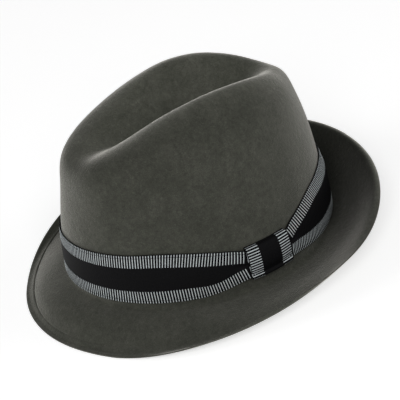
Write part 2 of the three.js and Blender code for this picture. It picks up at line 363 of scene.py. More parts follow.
def foot_size(out, up):
    """Sizes of a section of the curve between brim and crown."""
    return dict(
        side=HALF_WIDTH + out, front=HALF_LENGTH + out, back=HALF_LENGTH + out,
        z_front=up - FRONT_DIP, z_side=up, z_back=up + BACK_RISE, pinch=0,
        square_front=CROWN_SECTIONS[0]["square_front"],
        square_back=CROWN_SECTIONS[0]["square_back"],
    )


def crown_size(row):
    """Sizes of a section of the crown."""
    return dict(
        side=HALF_WIDTH - row["side"] * SIDE_TAPER,
        front=HALF_LENGTH - row["front"] * FRONT_TAPER,
        back=HALF_LENGTH - row["back"] * BACK_TAPER,
        z_front=row["low"] * CROWN_HEIGHT - row["rise"] * FRONT_DIP,
        z_side=row["mid"] * CROWN_HEIGHT,
        z_back=row["high"] * CROWN_HEIGHT + row["rise"] * BACK_RISE,
        pinch=row["pinch"], square_front=row["square_front"], square_back=row["square_back"],
    )


SECTIONS = (
    [brim_size(row) for row in BRIM_SECTIONS]
    + [foot_size(FOOT_RADIUS, 0), foot_size(0, 0), foot_size(0, FOOT_RADIUS)]
    + [crown_size(row) for row in CROWN_SECTIONS]
)
FOOT_ROW = len(BRIM_SECTIONS) + 1
RIDGE_ROW = len(SECTIONS) - 1
LAST_ROW = RIDGE_ROW + len(DENT_SECTIONS)
DENT_BOTTOM = np.array([0, DENT_SETBACK, CROWN_HEIGHT - DENT_DEPTH])

# The dent's sections shrink the ridge towards the dent's lowest point
ALL_SECTIONS = SECTIONS + [SECTIONS[RIDGE_ROW]] * len(DENT_SECTIONS)
COLUMN = {name: np.array([row[name] for row in ALL_SECTIONS], float) for name in SECTIONS[0]}
OUT_SHARE = np.array([1.0] * len(SECTIONS) + [row["out"] for row in DENT_SECTIONS])
UP_SHARE = np.array([1.0] * len(SECTIONS) + [row["up"] for row in DENT_SECTIONS])


def section_point(row, angle):
    """Point of a section: an oval with fuller corners, pinched in front, drawn in to the dent."""
    size = {name: values[row] for name, values in COLUMN.items()}
    c, s = np.cos(angle), np.sin(angle)
    ahead = (1 + c) / 2
    corner = (2 * s * c) ** 2
    fill = 1 + (size["square_front"] * ahead + size["square_back"] * (1 - ahead)) * corner
    narrow = 1 - size["pinch"] * ahead ** 2
    tilt = (size["z_front"] - size["z_back"]) / 2
    bend = (size["z_front"] + size["z_back"]) / 2 - size["z_side"]
    point = np.stack([
        size["side"] * s * fill * narrow,
        -(size["front"] + size["back"]) / 2 * c * fill + (size["back"] - size["front"]) / 2,
        size["z_side"] + tilt * c + bend * c * c,
    ], -1)
    share = np.stack([OUT_SHARE[row], OUT_SHARE[row], UP_SHARE[row]], -1)
    return DENT_BOTTOM + share * (point - DENT_BOTTOM)


def control_point(row, angle):
    """Control sections, with one more beyond each end that carries on straight."""
    near = np.clip(row, 0, LAST_ROW)
    inner = np.where(row < 0, 1, np.where(row > LAST_ROW, LAST_ROW - 1, near))
    point = section_point(near, angle)
    return point + (point - section_point(inner, angle))


def felt(angle, station):
    """Outer surface: a uniform cubic B-spline through the control sections."""
    angle, station = np.broadcast_arrays(angle, station)
    row = np.clip(np.floor(station), 0, LAST_ROW - 1).astype(int)
    f = station - row
    weights = [
        (1 - f) ** 3 / 6,
        (3 * f ** 3 - 6 * f ** 2 + 4) / 6,
        (-3 * f ** 3 + 3 * f ** 2 + 3 * f + 1) / 6,
        f ** 3 / 6,
    ]
    return sum(w[..., None] * control_point(row - 1 + k, angle) for k, w in enumerate(weights))


def unit(v):
    return v / np.maximum(np.linalg.norm(v, axis=-1, keepdims=True), 1e-12)


def along_station(angle, station):
    low = np.maximum(station - SURFACE_STEP, 0)
    high = np.minimum(station + SURFACE_STEP, LAST_ROW)
    return unit(felt(angle, high) - felt(angle, low))


def outwards(angle, station):
    around = felt(angle + SURFACE_STEP, station) - felt(angle - SURFACE_STEP, station)
    return unit(np.cross(around, along_station(angle, station)))


def foot_line(angle):
    """Height of the crown's foot at each angle."""
    c = np.cos(angle)
    return (BACK_RISE - FRONT_DIP) / 2 * c ** 2 - (BACK_RISE + FRONT_DIP) / 2 * c


def on_wall(angle, height, offset):
    """Point at a height on the crown wall above its foot, pushed off the felt by offset."""
    angle, height, offset = np.broadcast_arrays(angle, height, offset)
    level = foot_line(angle) + height
    low = np.full(angle.shape, float(FOOT_ROW))
    high = np.full(angle.shape, float(RIDGE_ROW - 1))
    for _ in range(WALL_SEARCH_STEPS):
        middle = (low + high) / 2
        under = felt(angle, middle)[..., 2] < level
        low = np.where(under, middle, low)
        high = np.where(under, high, middle)
    across = outwards(angle, low)
    across[..., 2] = 0
    return felt(angle, low) + unit(across) * offset[..., None]


# How the hat stands

def cad_points():
    """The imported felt's points before it stands, as (outer, nose and inner)."""
    stations = [0.0]
    for row, steps in enumerate(CAD_STEPS):
        stations += [row + k / steps for k in range(1, steps + 1)]
    angle = np.arange(CAD_COLUMNS) * FULL_TURN / CAD_COLUMNS
    station = np.array(stations[:-1])[:, None]
    outer = felt(angle, station)
    inner = outer - outwards(angle, station) * FELT_THICKNESS
    nose = (
        felt(angle, 0.0)
        - outwards(angle, np.zeros(1)) * FELT_THICKNESS / 2
        - along_station(angle, np.zeros(1)) * FELT_THICKNESS / 2
    )
    return np.concatenate([outer.reshape(-1, 3), nose, inner.reshape(-1, 3)])


def turn_x(points, pitch):
    """Points turned about the line from side to side. A positive pitch lifts the front."""
    c, s = math.cos(pitch), math.sin(pitch)
    x, y, z = points[..., 0], points[..., 1], points[..., 2]
    return np.stack([x, c * y + s * z, c * z - s * y], -1)


def standing_pitch(points):
    """Pitch at which the front and the back touch the floor together."""
    low, high = PITCH_RANGE
    for _ in range(PITCH_SEARCH_STEPS):
        middle = (low + high) / 2
        turned = turn_x(points, middle)
        front = turned[points[:, 1] < 0, 2].min()
        back = turned[points[:, 1] > 0, 2].min()
        low, high = (middle, high) if front < back else (low, middle)
    return low


BEFORE = cad_points()
PITCH = standing_pitch(BEFORE)
STOOD = turn_x(BEFORE, PITCH)
CENTRE = (STOOD.min(0) + STOOD.max(0)) / 2
SEAT = np.array([-CENTRE[0], -CENTRE[1], -STOOD[:, 2].min() - PRESSED_DEPTH])


def stand(points):
    return turn_x(points, PITCH) + SEAT


# Meshes

def grid_faces(rows, columns, close_rows):
    """Quads of a grid whose columns close round. close_rows joins the last row to the first."""
    last = rows if close_rows else rows - 1
    r, c = np.meshgrid(np.arange(last), np.arange(columns), indexing="ij")
    r2, c2 = (r + 1) % rows, (c + 1) % columns
    quads = np.stack([r * columns + c, r2 * columns + c, r2 * columns + c2, r * columns + c2], -1)
    return quads.reshape(-1, 4)


def make_piece(name, points, faces, materials, face_material=None, uv=None):
    """Smooth mesh object, with a material number for each face and cloth coordinates if given."""
    mesh = bpy.data.meshes.new(name)
    mesh.from_pydata(points.tolist(), [], [list(f) for f in faces])
    for material in materials:
        mesh.materials.append(material)
    mesh.polygons.foreach_set("use_smooth", np.ones(len(mesh.polygons), bool))
    if face_material is not None:
        mesh.polygons.foreach_set("material_index", np.asarray(face_material, np.int32))
    if uv is not None:
        layer = mesh.uv_layers.new(name="cloth")
        layer.data.foreach_set("uv", np.asarray(uv, np.float32).ravel())
    mesh.update()
    piece = bpy.data.objects.new(name, mesh)
    bpy.context.scene.collection.objects.link(piece)
    return piece


# Ramps and tables

def smooth_step(x):
    """0 up to 0, 1 from 1 on, with a soft start and end between."""
    x = np.clip(x, 0, 1)
    return x * x * (3 - 2 * x)


def after(x, ramp):
    """0 up to the start of a ramp, 1 from its end on."""
    start, width = ramp
    return smooth_step((x - start) / width)


def before(x, ramp):
    """1 up to the start of a ramp, 0 from its end on."""
    return 1 - after(x, ramp)


def hump(x, middle, spread):
    """1 at the middle, falling softly to 0 on both sides."""
    return np.exp(-((x - middle) / spread) ** 2)


def blend(low, high, share):
    return low + (high - low) * share


def from_front(angle):
    """Degrees from the front, between -180 and 180."""
    return np.degrees(np.arctan2(np.sin(angle), np.cos(angle)))


SMOOTHING = [-9, -4.5, 0, 4.5, 9]


def table_at(table, column, angle):
    """A table's column at any angle, smoothed over a few degrees."""
    degrees = from_front(angle)
    places = [row["angle"] for row in table]
    values = [row[column] for row in table]
    return sum(np.interp(degrees + s, places, values) for s in SMOOTHING) / len(SMOOTHING)


# The felt body

FELT_COLUMNS = 360
BRIM_SAMPLES = 300
LIP_ROWS = np.array([0, 0.5, 1.1, 1.8, 2.6, 3.5, 4.4, 5.1, 5.6, 5.9, 6.1, 6.3, 6.45, 6.6, 6.75, 6.9,
                     7.1, 7.3, 7.6, 8.1, 8.8, 9.8, 11.0, 12.5]) * MM
BRIM_ROWS = 16
CROWN_ROWS_PER_SECTION = 9
INNER_ROWS = 60
NOSE_STEPS = 6

# Slow waves of the felt, as turns round the hat and pace along the stations
WAVES = [(2, 0.5), (3, 0.9), (5, 0.7), (7, 1.3), (9, 0.4), (12, 1.1), (15, 1.9)]

# Ramps, as start and width: the stations under the ribbon, and the crease's angles from the front
RIBBON_FROM = (3.4, 0.6)
RIBBON_TO = (6.6, 0.8)
CREASE_FROM = (-150, 25)
CREASE_TO = (-25, 35)
FAINT_FROM = (-30, 20)
FAINT_TO = (25, 30)


def waviness(angle, station):
    """Slow unevenness of hand-pressed felt, none under the ribbon."""
    rng = np.random.default_rng(7)
    wave = np.zeros(np.broadcast(angle, station).shape)
    for turns, rows in WAVES:
        phase = rng.uniform(0, FULL_TURN, 2)
        wave = wave + np.sin(turns * angle + phase[0]) * np.cos(rows * station + phase[1]) / turns ** 0.5
    return WAVE_HEIGHT * wave * (1 - after(station, RIBBON_FROM) * before(station, RIBBON_TO))


def shoulder(angle, station):
    """How far the back end of the near ridge stands out."""
    around = hump(from_front(angle) % 360, SHOULDER_ANGLE, SHOULDER_SPREAD)
    return SHOULDER_OUT * around * hump(station, SHOULDER_STATION, SHOULDER_REACH)


def crease_strength(angle):
    """Full on the far side of the brim, fading at the front, none on the near side."""
    degrees = from_front(angle)
    full = after(degrees, CREASE_FROM) * before(degrees, CREASE_TO)
    faint = after(degrees, FAINT_FROM) * before(degrees, FAINT_TO)
    return np.maximum(full, FAINT_CREASE * faint)


def dish_fill(angle, distance):
    """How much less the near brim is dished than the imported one."""
    return table_at(EDGE_LINE, "fill", angle) * DISH_FILL * hump(distance, DISH_PLACE, DISH_WIDTH)


def lip_relief(angle, distance):
    """Height of the pressed lip above the brim, at a distance in from the edge."""
    rise = LIP_RISE * before(distance, (LIP_WIDTH - CREASE_WIDTH, 3 * CREASE_WIDTH))
    uneven = 0.8 + 0.15 * np.sin(17 * angle) + 0.15 * np.sin(41 * angle + 1)
    crease = CREASE_DEPTH * uneven * hump(distance, LIP_WIDTH, CREASE_WIDTH)
    turned = table_at(EDGE_LINE, "down", angle) * MM * np.clip(1 - distance / TURN_DOWN_WIDTH, 0, 1) ** 2
    return crease_strength(angle) * (rise - crease) - turned + dish_fill(angle, distance)


def lip_roll(angle, distance):
    """How far the edge is rolled away from the crown, at a distance in from the edge."""
    return table_at(EDGE_LINE, "out", angle) * MM * np.clip(1 - distance / ROLL_WIDTH, 0, 1) ** 2


def felt_stations(angle):
    """Stations of the outer rows at each angle, and their distances in from the brim's edge."""
    fine = np.linspace(0, FOOT_ROW, BRIM_SAMPLES)
    path = felt(angle[None, :], fine[:, None])
    run = np.zeros(path.shape[:2])
    run[1:] = np.cumsum(np.linalg.norm(np.diff(path, axis=0), axis=-1), axis=0)
    share = np.linspace(0, 1, BRIM_ROWS + 1)[1:, None]
    distance = np.concatenate([
        np.repeat(LIP_ROWS[:, None], len(angle), 1),
        LIP_ROWS[-1] + share * (run[-1] - LIP_ROWS[-1]),
    ])
    station = np.stack([np.interp(distance[:, i], run[:, i], fine) for i in range(len(angle))], 1)
    crown_count = CROWN_ROWS_PER_SECTION * (LAST_ROW - FOOT_ROW)
    crown = np.linspace(FOOT_ROW, LAST_ROW, crown_count + 1)[1:-1, None]
    station = np.concatenate([station, np.repeat(crown, len(angle), 1)])
    far = np.full((len(crown), len(angle)), 1.0)
    return station, np.concatenate([distance, far])


def painted_light_and_shade(angle, station):
    """Painted shade in the gutter behind and on its flank, painted light along the edge there and on
    top.
    """
    degrees = from_front(angle) % 360
    behind = after(degrees, BACK_FROM) * before(degrees, BACK_TO)
    # painted shade in the gutter behind the crown, where the crown's shadow falls
    in_gutter = after(station, GUTTER_FROM) * before(station, GUTTER_TO)
    # painted light along the brim's edge behind the crown
    rim_lit = before(station, RIM_LIGHT_TO) * after(degrees, RIM_LIGHT_FROM)
    # painted shade on the brim between the wrap and the back
    flank = hump(degrees, FLANK_ANGLE, FLANK_SPREAD)
    flank = flank * after(station, FLANK_FROM) * before(station, FLANK_TO)
    shade = behind * (GUTTER_PAINTED_SHADE * in_gutter + RIM_PAINTED_LIGHT * rim_lit)
    # painted light on top of the crown
    return UNPAINTED_TONE + shade + FLANK_PAINTED_SHADE * flank + TOP_PAINTED_LIGHT * after(station, TOP_FROM)


def press(points, floor):
    """Felt below the floor is pressed up to it, and the felt above it keeps its thickness."""
    points[..., 2] = np.maximum(points[..., 2], floor)
    return points


def away_from_crown(angle):
    """Level direction away from the crown."""
    return np.stack([np.sin(angle), -np.cos(angle), 0 * angle], -1)


def outer_side(angle):
    """Rows of the felt's outer side from the edge inwards, and the painted light and shade on them."""
    station, distance = felt_stations(angle)
    wide = np.broadcast_to(angle, station.shape)
    relief = waviness(wide, station) + shoulder(wide, station) + lip_relief(wide, distance)
    points = felt(wide, station) + outwards(wide, station) * relief[..., None]
    return points + away_from_crown(wide) * lip_roll(wide, distance)[..., None], painted_light_and_shade(wide, station)


def inner_side(angle):
    """Rows of the felt's inner side, thinner along the edge."""
    wide = np.broadcast_to(angle, (INNER_ROWS, FELT_COLUMNS))
    station = np.broadcast_to(np.linspace(0, LAST_ROW, INNER_ROWS + 1)[:-1, None], wide.shape)
    normal = outwards(wide, station)
    sway = waviness(wide, station) + shoulder(wide, station) - FELT_THICKNESS
    points = felt(wide, station) + normal * sway[..., None]
    distance = np.linalg.norm(points - points[0], axis=-1)
    thinned = EDGE_THINNING * table_at(EDGE_LINE, "thin", wide) - MM * table_at(EDGE_LINE, "down", wide)
    thinned = thinned * np.clip(1 - distance / (3 * TURN_DOWN_WIDTH), 0, 1)
    filled = table_at(EDGE_LINE, "fill", wide) * UNDER_FILL * hump(distance, UNDER_PLACE, UNDER_PLACE)
    points = points + normal * (thinned + filled + dish_fill(wide, distance))[..., None]
    return points + away_from_crown(wide) * lip_roll(wide, distance)[..., None]


def rounded_edge(angle, top, under, turn):
    """Half round between the two sides of the brim's edge."""
    up = (top - under) / 2
    past = -along_station(angle, np.zeros(1)) * np.linalg.norm(up, axis=-1, keepdims=True)
    return (top + under) / 2 + up * np.cos(turn) + past * np.sin(turn)


def felt_points():
    """All the felt's points from the dent's outer side to its inner side, and their painted tones."""
    angle = np.arange(FELT_COLUMNS) * FULL_TURN / FELT_COLUMNS
    outer, painted_tones = outer_side(angle)
    inner = inner_side(angle)
    turn = np.linspace(0, math.pi, NOSE_STEPS + 2)[1:-1, None, None]
    nose = rounded_edge(angle, outer[0], inner[0], turn)
    nose_floor = FELT_THICKNESS / 2 * (1 + np.cos(turn[..., 0]))
    top_end = felt(np.zeros(1), np.full(1, float(LAST_ROW)))
    under_end = top_end - np.array([0, 0, FELT_THICKNESS])
    rings = [
        press(stand(top_end), FELT_THICKNESS),
        press(stand(outer[::-1]), FELT_THICKNESS).reshape(-1, 3),
        press(stand(nose), nose_floor).reshape(-1, 3),
        press(stand(inner), 0.0).reshape(-1, 3),
        press(stand(under_end), 0.0),
    ]
    rows = len(outer) + NOSE_STEPS + INNER_ROWS
    plain = (NOSE_STEPS + INNER_ROWS) * FELT_COLUMNS + 1
    tones = [np.full(1, UNPAINTED_TONE), painted_tones[::-1].ravel(), np.full(plain, UNPAINTED_TONE)]
    return np.concatenate(rings), rows, np.concatenate(tones)


def felt_body(material):
    """The felt as one closed skin, with a fan of triangles over each side of the dent's bottom."""
    points, rows, tones = felt_points()
    n = FELT_COLUMNS
    quads = grid_faces(rows, n, False) + 1
    around = np.arange(n)
    following = (around + 1) % n
    last_ring = 1 + (rows - 1) * n
    first_fan = np.stack([np.zeros(n, int), 1 + around, 1 + following], -1)
    last_fan = np.stack([np.full(n, len(points) - 1), last_ring + following, last_ring + around], -1)
    faces = first_fan.tolist() + quads.tolist() + last_fan.tolist()
    body = make_piece("pressed_felt", points, faces, [material])
    # tone of painted light and painted shade at each point
    painted_attribute = body.data.attributes.new("painted_tone", "FLOAT", "POINT")
    painted_attribute.data.foreach_set("value", tones.astype(np.float32))
    return body


# The ribbon band

def from_wrap(angle):
    """Distance along the band from the wrap's middle, negative ahead of it."""
    return np.arctan2(np.sin(angle - WRAP_MIDDLE), np.cos(angle - WRAP_MIDDLE)) * HALF_LENGTH


def gather(angle, edge):
    """1 under the wrap, falling to 0 where the band has its full width."""
    distance = from_wrap(angle)
    reach = np.where(distance < 0, GATHER_REACH["ahead"][edge], GATHER_REACH["behind"][edge])
    part = np.clip((np.abs(distance) - WRAP_WIDTH / 2) / reach, 0, 1)
    return (1 - part) ** GATHER_CURVE


def grip(angle):
    """How firmly the wrap holds the band: 1 under it, 0 where neither edge narrows."""
    return gather(angle, "top") * gather(angle, "foot")


ARC_STEPS = 1440


def arc_table():
    """Angle against length along the middle of the band."""
    angle = np.linspace(0, FULL_TURN, ARC_STEPS + 1)
    line = on_wall(angle, BAND_MIDDLE, RIBBON_THICKNESS)
    run = np.zeros(len(angle))
    run[1:] = np.cumsum(np.linalg.norm(np.diff(line, axis=0), axis=-1))
    return angle, run


ARC_ANGLE, ARC_RUN = arc_table()
BAND_LENGTH = ARC_RUN[-1]
STRIPE = BAND_LENGTH / STRIPE_COUNT


def angle_at(run):
    """Angle at a length along the band, past a full turn as well."""
    turns = np.floor(run / BAND_LENGTH)
    return np.interp(run - turns * BAND_LENGTH, ARC_RUN, ARC_ANGLE) + turns * FULL_TURN


def band_edges(run):
    """Heights of the band's top and bottom edges."""
    angle = angle_at(run)
    full_top = BAND_FOOT + RIBBON_WIDTH + table_at(BAND_LINE, "top", angle) * MM
    full_foot = BAND_FOOT + table_at(BAND_LINE, "foot", angle) * MM
    top = blend(full_top, GATHERED_MIDDLE + GATHERED_WIDTH / 2, gather(angle, "top"))
    foot = blend(full_foot, GATHERED_MIDDLE - GATHERED_WIDTH / 2, gather(angle, "foot"))
    return top, foot


SLOPE_STEP = 0.5 * MM


def border_point(run, across, top):
    """Run and height of a point in a striped border, across from its outer edge and square to it."""
    side, way = (0, 1) if top else (1, -1)
    slope = (band_edges(run + SLOPE_STEP)[side] - band_edges(run - SLOPE_STEP)[side]) / (2 * SLOPE_STEP)
    length = np.sqrt(1 + slope ** 2)
    distance = from_wrap(angle_at(run))
    ahead = after(distance, AHEAD_FROM) * before(distance, AHEAD_TO)
    fading = before(distance, BEHIND_TO)
    if top:
        lean = (LEAN_AHEAD * ahead + LEAN_BEHIND * after(distance, BEHIND_FROM) * fading) * across
    else:
        bend = (2 * across / BORDER_WIDTH - 1) ** 2
        lean = LOWER_BOW * bend * after(distance, BOW_FROM) * fading
        lean = lean - LEAN_AHEAD * ahead * before(distance, LOWER_AHEAD_TO) * across
    return run + way * slope * across / length + lean, band_edges(run)[side] - way * across / length


BORDER_STEPS = np.array([0, 0.2, 0.6, 1.2, 1.85, 2.15, 3.2, 4.4, 5.6, 6.8, 8.0, 9.1]) * MM
CENTRE_STEPS = 10

# A stripe's four points along the ribbon: the start and the middle of its white rib, then the black
POINTS_PER_STRIPE = 4
STRIPE_RELIEF = [0, RIB_HEIGHT, 0, BLACK_RIB * RIB_HEIGHT]
STRIPE_IS_WHITE = [1, 1, 0, 0]


def stripe_places(white):
    """Places of a stripe's four points, as shares of the stripe."""
    return np.array([0, white / 2, white, (1 + white) / 2])


def band_rows():
    """Rows of the outside from the top edge down: zone, and distance from the edge or share."""
    rows = [("top", s) for s in BORDER_STEPS]
    rows += [("centre", k / CENTRE_STEPS) for k in range(1, CENTRE_STEPS)]
    rows += [("bottom", s) for s in BORDER_STEPS[::-1]]
    return rows


def row_place(zone, amount, run):
    """Run and height of one row, and how much it swells and sinks in the gather."""
    share = grip(angle_at(run))
    border = blend(BORDER_WIDTH, GATHERED_BORDER, share)
    tucked = border * (1 - LOWER_TUCK * hump(from_wrap(angle_at(run)), TUCK_PLACE, TUCK_SPREAD))
    if zone == "centre":
        run_a, height_a = border_point(run, border, True)
        run_b, height_b = border_point(run, tucked, False)
        fold = -FOLD_DEPTH * share ** 2 * (1 - abs(2 * amount - 1) ** FOLD_CURVE)
        return blend(run_a, run_b, amount), blend(height_a, height_b, amount), fold
    across = amount / BORDER_WIDTH
    swell = PLEAT_SWELL * share * math.sin(math.pi * across)
    wide = border if zone == "top" else tucked
    there, height = border_point(run, across * wide, zone == "top")
    return there, height, swell


def flare(zone, amount, run):
    """How far the band stands off the felt behind the wrap, more towards its foot."""
    across = amount / BORDER_WIDTH
    down = dict(top=across, centre=1.0, bottom=0.7 + 0.3 * across)[zone]
    return FLARE * down * hump(np.degrees(angle_at(run)) % 360, FLARE_ANGLE, FLARE_SPREAD)


def band_grid():
    """Rows of points over the band's outside and back up its inside, and how many rows are outside."""
    run = (np.arange(STRIPE_COUNT)[:, None] * STRIPE + stripe_places(WHITE_SHARE) * STRIPE).ravel()
    rib = np.tile(STRIPE_RELIEF, STRIPE_COUNT)
    share = grip(angle_at(run))
    near_wrap = before(np.abs(from_wrap(angle_at(run))), (WRAP_WIDTH / 2, SEAT_REACH))
    inside = blend(CLEARANCE, WRAP_SEAT, near_wrap)
    thickness = blend(RIBBON_THICKNESS, GATHERED_THICKNESS, share)
    outer_rows = band_rows()
    rings = []
    for zone, amount in outer_rows:
        there, height, relief = row_place(zone, amount, run)
        hem = BAND_HEM if amount == 0 else 0
        off = inside + flare(zone, amount, run)
        rings.append(on_wall(angle_at(there), height, off + thickness + relief + rib - hem))
    for zone, amount in [("bottom", 0), ("bottom", BORDER_WIDTH), ("top", BORDER_WIDTH), ("top", 0)]:
        there, height, relief = row_place(zone, amount, run)
        hem = INNER_HEM if amount == 0 else 0
        rings.append(on_wall(angle_at(there), height, inside + flare(zone, amount, run) + hem))
    return np.stack(rings), outer_rows


def band_marks(outer_rows, ring_count):
    """1 for the white faces of the stripes, 0 for all that is black."""
    marks = np.zeros((ring_count, STRIPE_COUNT * POINTS_PER_STRIPE), int)
    for k in range(len(outer_rows) - 1):
        (zone_a, a), (zone_b, b) = outer_rows[k], outer_rows[k + 1]
        if zone_a != zone_b or zone_a == "centre":
            continue
        middle = (a + b) / 2
        thread = abs(middle - THREAD_LINE) < THREAD_WIDTH / 2
        if middle > SELVEDGE and not thread:
            marks[k] = np.tile(STRIPE_IS_WHITE, STRIPE_COUNT)
    return marks


def cloth_uv(ring_count, count, around, across):
    """Cloth coordinates in metres at each corner of a closed grid's quads."""
    r, c = np.meshgrid(np.arange(ring_count), np.arange(count), indexing="ij")
    corners = [(r, c), (r + 1, c), (r + 1, c + 1), (r, c + 1)]
    uv = [np.stack([c2 * around, r2 * across], -1) for r2, c2 in corners]
    return np.stack(uv, 2).reshape(-1, 2)


def striped_band(materials):
    rings, outer_rows = band_grid()
    ring_count, count = rings.shape[:2]
    faces = grid_faces(ring_count, count, True)
    marks = band_marks(outer_rows, ring_count)
    uv = cloth_uv(ring_count, count, STRIPE / POINTS_PER_STRIPE, RIBBON_WIDTH / len(outer_rows))
    points = stand(rings.reshape(-1, 3))
    return make_piece("striped_band", points, faces, materials, marks.ravel(), uv)


# The bow wrap

def wrap_profile():
    """Corners of the wrap's outside round the gathered band, as height and offset."""
    rise = GATHERED_WIDTH / 2 + CLEARANCE + WRAP_THICKNESS
    side = dict(near=CLEARANCE, far=WRAP_SEAT + GATHERED_THICKNESS + CLEARANCE + WRAP_THICKNESS)
    return np.array([
        (rise * row["up"], side[row["side"]] + row["off"] * MM + row["bulge"] * WRAP_BULGE)
        for row in WRAP_PROFILE
    ])


LOOP_STEPS = 24


def rounded(corners):
    """Closed smooth curve through corners, and the length run along it."""
    n = len(corners)
    t = np.arange(n * LOOP_STEPS) / LOOP_STEPS
    k = t.astype(int)
    f = (t - k)[:, None]
    a, b, c, d = (corners[(k + i) % n] for i in (-1, 0, 1, 2))
    square = 2 * a - 5 * b + 4 * c - d
    cube = 3 * b - a - 3 * c + d
    curve = 0.5 * (2 * b + (c - a) * f + square * f ** 2 + cube * f ** 3)
    closed = np.vstack([curve, curve[:1]])
    run = np.concatenate([[0], np.cumsum(np.linalg.norm(np.diff(closed, axis=0), axis=1))])
    return closed, run


def inward_normals(loop):
    """Unit vectors square to a closed loop, towards its inside."""
    tangent = np.roll(loop, -1, 0) - np.roll(loop, 1, 0)
    inwards = np.stack([-tangent[:, 1], tangent[:, 0]], 1)
    inwards /= np.linalg.norm(inwards, axis=1, keepdims=True)
    middle = loop.mean(0)
    if ((loop + inwards * MM - middle) ** 2).sum() > ((loop - middle) ** 2).sum():
        inwards = -inwards
    return inwards


WRAP_STEPS = np.array([0, 0.4, 0.8, 2.2, 4.0, 6.0, 8.0, 9.2, 11.5, 14.0, 16.5]) * MM


def wrap_hem(place):
    return WRAP_HEM if abs(place) == WRAP_WIDTH / 2 else 0


def wrap_loops(outer, across):
    """Loops of the wrap's outside from one edge to the other and back along its inside."""
    inwards = inward_normals(outer)
    rib = np.tile(STRIPE_RELIEF, len(outer) // POINTS_PER_STRIPE)[:, None]
    skin = outer - inwards * rib
    lining = outer + inwards * WRAP_THICKNESS * WRAP_LINING
    loops = []
    for place in across:
        bow = WRAP_BOW * (1 - (2 * place / WRAP_WIDTH) ** 2) * (outer[:, 1:] > WRAP_SEAT)
        loops.append((place, skin + inwards * (wrap_hem(place) - bow)))
    for place in across[::-1]:
        loops.append((place, lining - inwards * wrap_hem(place)))
    return loops


def wrap_marks(across, ring_count, count):
    """1 for the white faces of the stripes, 0 for all that is black."""
    marks = np.zeros((ring_count, count), int)
    for k in range(len(across) - 1):
        from_edge = WRAP_WIDTH / 2 - abs(across[k] + across[k + 1]) / 2
        if SELVEDGE < from_edge < WRAP_BORDER:
            marks[k] = np.tile(STRIPE_IS_WHITE, count // POINTS_PER_STRIPE)
    return marks


def striped_wrap(materials):
    closed, run = rounded(wrap_profile())
    length = run[-1]
    stripes = round(length / WRAP_STRIPE)
    places = (np.arange(stripes)[:, None] + stripe_places(WRAP_WHITE)).ravel() / stripes * length
    outer = np.stack([np.interp(places, run, closed[:, i]) for i in (0, 1)], 1)
    across = np.concatenate([WRAP_STEPS, WRAP_WIDTH - WRAP_STEPS[-2::-1]]) - WRAP_WIDTH / 2
    middle_run = np.interp(WRAP_MIDDLE, ARC_ANGLE, ARC_RUN)
    rings = []
    for place, loop in wrap_loops(outer, across):
        angle = angle_at(middle_run + np.full(len(loop), place))
        rings.append(on_wall(angle, GATHERED_MIDDLE + loop[:, 0], loop[:, 1]))
    rings = np.stack(rings)
    ring_count, count = rings.shape[:2]
    marks = wrap_marks(across, ring_count, count)
    faces = grid_faces(ring_count, count, True)
    uv = cloth_uv(ring_count, count, WRAP_STRIPE / POINTS_PER_STRIPE, WRAP_WIDTH / len(across))
    points = stand(rings.reshape(-1, 3))
    return make_piece("striped_wrap", points, faces, materials, marks.ravel(), uv), length


# Materials

class Nodes:
    """Short names for building a material's node tree."""

    def __init__(self, name):
        self.material = bpy.data.materials.new(name)
        self.material.use_nodes = True
        self.tree = self.material.node_tree
        self.shader = self.tree.nodes["Principled BSDF"]

    def add(self, kind, **settings):
        node = self.tree.nodes.new(kind)
        for key, value in settings.items():
            setattr(node, key, value)
        return node

    def link(self, source, target):
        self.tree.links.new(source, target)

    def material_with(self, settings):
        """The material, with the plain values of its shader set."""
        for name, value in settings.items():
            self.shader.inputs[name].default_value = value
        return self.material

    def noise(self, coordinates, size, detail=3.0, roughness=0.5, distortion=0.0):
        node = self.add("ShaderNodeTexNoise")
        node.inputs["Scale"].default_value = 1 / size
        node.inputs["Detail"].default_value = detail
        node.inputs["Roughness"].default_value = roughness
        node.inputs["Distortion"].default_value = distortion
        self.link(coordinates, node.inputs["Vector"])
        return node.outputs["Fac"]

    def ramp(self, value, stops):
        node = self.add("ShaderNodeValToRGB")
        elements = node.color_ramp.elements
        while len(elements) < len(stops):
            elements.new(0.5)
        for element, (place, colour) in zip(elements, stops):
            element.position = place
            element.color = (*colour, 1)
        self.link(value, node.inputs["Fac"])
        return node.outputs["Color"]

    def multiply(self, a, b):
        node = self.add("ShaderNodeMix", data_type="RGBA", blend_type="MULTIPLY")
        node.inputs["Factor"].default_value = 1.0
        self.link(a, node.inputs["A"])
        self.link(b, node.inputs["B"])
        return node.outputs["Result"]

    def bump(self, height, distance, strength=1.0, before=None):
        node = self.add("ShaderNodeBump")
        node.inputs["Distance"].default_value = distance
        node.inputs["Strength"].default_value = strength
        self.link(height, node.inputs["Height"])
        if before is not None:
            self.link(before, node.inputs["Normal"])
        return node.outputs["Normal"]


def grey(value):
    return (value, value, value)


